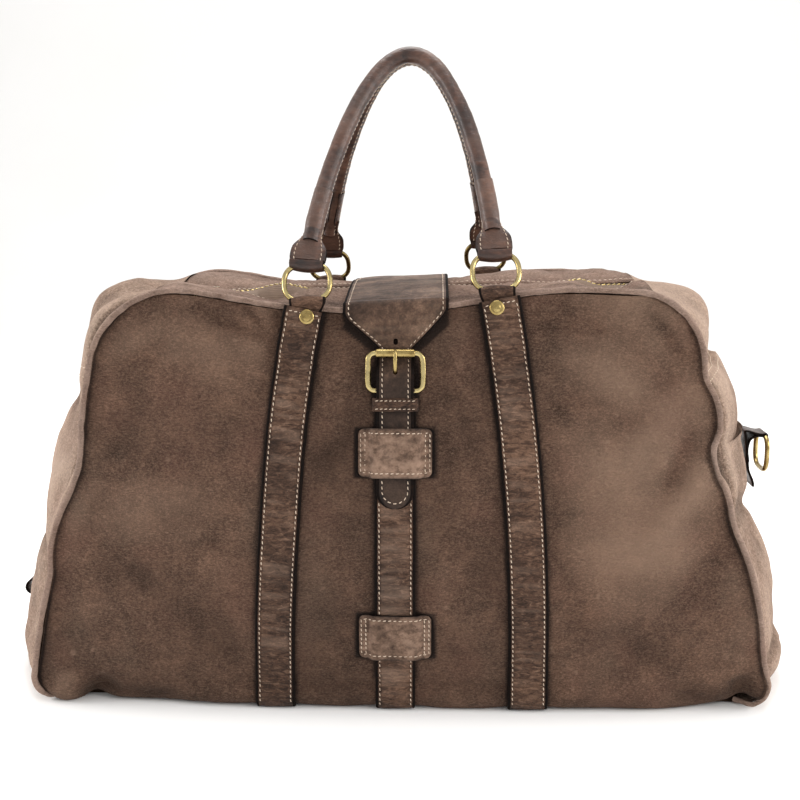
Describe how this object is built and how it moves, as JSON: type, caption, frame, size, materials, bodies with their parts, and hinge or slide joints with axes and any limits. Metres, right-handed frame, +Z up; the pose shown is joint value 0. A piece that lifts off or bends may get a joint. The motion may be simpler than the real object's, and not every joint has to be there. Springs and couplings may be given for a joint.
{
  "type": "travel bag",
  "caption": "Leather travel bag with a zipped top, two rolled handles on rings, strap trim and a buckled flap over the zip.",
  "frame": {"origin": "middle of the bounding box at the underside of the base", "axes": "+X along the bag to the right as seen from the front, +Y from the front to the rear, +Z up"},
  "size_m": [0.6478, 0.2385, 0.5044],
  "materials": {
    "body_suede": "mottled, napped",
    "strap_leather": "matt with burnished edges",
    "flap_leather": "finely grained, satin",
    "handle_leather": "smooth, glossy",
    "antique_brass": "antiqued, polished on the high spots",
    "zip_tape": "herringbone tape",
    "lining_cloth": "plain woven",
    "rope_core": "twisted cord",
    "base_board": "pressed fibre"
  },
  "bodies": {
    "bag": {"front_panel": "body_suede", "rear_panel": "body_suede", "left_gusset": "body_suede", "right_gusset": "body_suede", "left_corner_strip": "body_suede", "right_corner_strip": "body_suede", "base_panel": "body_suede", "base_board": "base_board", "lining": "lining_cloth", "front_top_strip": "body_suede", "rear_top_strip": "body_suede", "front_piping": "strap_leather", "rear_piping": "strap_leather", "front_zip_tape": "zip_tape", "rear_zip_tape": "zip_tape", "front_zip_teeth": "antique_brass", "rear_zip_teeth": "antique_brass", "zip_stops": "antique_brass", "front_left_strap": "strap_leather", "front_right_strap": "strap_leather", "rear_left_strap": "strap_leather", "rear_right_strap": "strap_leather", "front_left_ring_tab": "handle_leather", "front_right_ring_tab": "handle_leather", "rear_left_ring_tab": "handle_leather", "rear_right_ring_tab": "handle_leather", "strap_rivets": "antique_brass", "flap_anchor": "flap_leather", "centre_strap": "strap_leather", "keeper_loop": "strap_leather", "upper_patch": "strap_leather", "lower_patch": "strap_leather", "left_end_tab": "strap_leather", "right_end_tab": "strap_leather", "left_pull_tab": "handle_leather"},
    "front_left_ring": {"front_left_ring": "antique_brass"},
    "front_right_ring": {"front_right_ring": "antique_brass"},
    "rear_left_ring": {"rear_left_ring": "antique_brass"},
    "rear_right_ring": {"rear_right_ring": "antique_brass"},
    "front_handle": {"front_handle_cover": "handle_leather", "front_handle_core": "rope_core", "front_handle_left_end": "handle_leather", "front_handle_right_end": "handle_leather"},
    "rear_handle": {"rear_handle_cover": "handle_leather", "rear_handle_core": "rope_core", "rear_handle_left_end": "handle_leather", "rear_handle_right_end": "handle_leather"},
    "flap": {"flap": "flap_leather", "flap_tongue": "flap_leather"},
    "buckle": {"buckle_frame": "antique_brass"},
    "buckle_roller": {"buckle_roller": "antique_brass"},
    "buckle_prong": {"buckle_prong": "antique_brass"},
    "zip_slider": {"zip_slider": "antique_brass"},
    "zip_pull": {"zip_pull": "antique_brass"},
    "left_end_ring": {"left_end_ring": "antique_brass"},
    "right_end_ring": {"right_end_ring": "antique_brass"}
  },
  "joints": [
    {"name": "front_left_ring_swing", "type": "hinge", "parent": "bag", "child": "front_left_ring", "pos_m": [-0.06938, -0.097, 0.315], "axis": [0.9983, 0, 0.0576], "range_deg": [0, 100]},
    {"name": "front_right_ring_swing", "type": "hinge", "parent": "bag", "child": "front_right_ring", "pos_m": [0.06938, -0.097, 0.323], "axis": [0.9983, 0, 0.0576], "range_deg": [0, 100]},
    {"name": "front_handle_swing", "type": "hinge", "parent": "front_left_ring", "child": "front_handle", "pos_m": [-0.07088, -0.08394, 0.34085], "axis": [0.9983, 0, 0.0576], "range_deg": [0, 95]},
    {"name": "rear_left_ring_swing", "type": "hinge", "parent": "bag", "child": "rear_left_ring", "pos_m": [-0.06938, 0.097, 0.315], "axis": [-0.9983, 0, -0.0576], "range_deg": [0, 100]},
    {"name": "rear_right_ring_swing", "type": "hinge", "parent": "bag", "child": "rear_right_ring", "pos_m": [0.06938, 0.097, 0.323], "axis": [-0.9983, 0, -0.0576], "range_deg": [0, 100]},
    {"name": "rear_handle_swing", "type": "hinge", "parent": "rear_left_ring", "child": "rear_handle", "pos_m": [-0.07088, 0.08394, 0.34085], "axis": [-0.9983, 0, -0.0576], "range_deg": [0, 95]},
    {"name": "flap_lift", "type": "hinge", "parent": "bag", "child": "flap", "pos_m": [-0.00433, 0.0964, 0.31175], "axis": [-0.9983, 0, -0.0576], "range_deg": [0, 30], "deforming": ["flap_tongue"]},
    {"name": "buckle_swing", "type": "hinge", "parent": "bag", "child": "buckle", "pos_m": [-0.0045, -0.10662, 0.25017], "axis": [1, 0, 0], "range_deg": [0, 80]},
    {"name": "prong_swing", "type": "hinge", "parent": "buckle", "child": "buckle_prong", "pos_m": [-0.0045, -0.10662, 0.25017], "axis": [1, 0, 0], "range_deg": [0, 60]},
    {"name": "roller_spin", "type": "hinge", "parent": "buckle", "child": "buckle_roller", "pos_m": [-0.0045, -0.10436, 0.27758], "axis": [1, 0, 0], "continuous": true},
    {"name": "zip_slide", "type": "slide", "parent": "bag", "child": "zip_slider", "axis": [0.9998, 0, 0.0209], "range_m": [0, 0.3521]},
    {"name": "zip_pull_swing", "type": "hinge", "parent": "zip_slider", "child": "zip_pull", "pos_m": [-0.17608, 0, 0.31561], "axis": [0, -1, 0], "range_deg": [0, 145]},
    {"name": "left_end_ring_swing", "type": "hinge", "parent": "bag", "child": "left_end_ring", "pos_m": [-0.2999, 0.02932, 0.17], "axis": [0.1014, 0.9948, 0], "range_deg": [0, 150]},
    {"name": "right_end_ring_swing", "type": "hinge", "parent": "bag", "child": "right_end_ring", "pos_m": [0.29502, 0, 0.197], "axis": [0, -1, 0], "range_deg": [0, 150]}
  ],
  "couplings": [
    {"joint": "front_right_ring_swing", "follows": "front_left_ring_swing", "ratio": 1},
    {"joint": "rear_right_ring_swing", "follows": "rear_left_ring_swing", "ratio": 1}
  ]
}
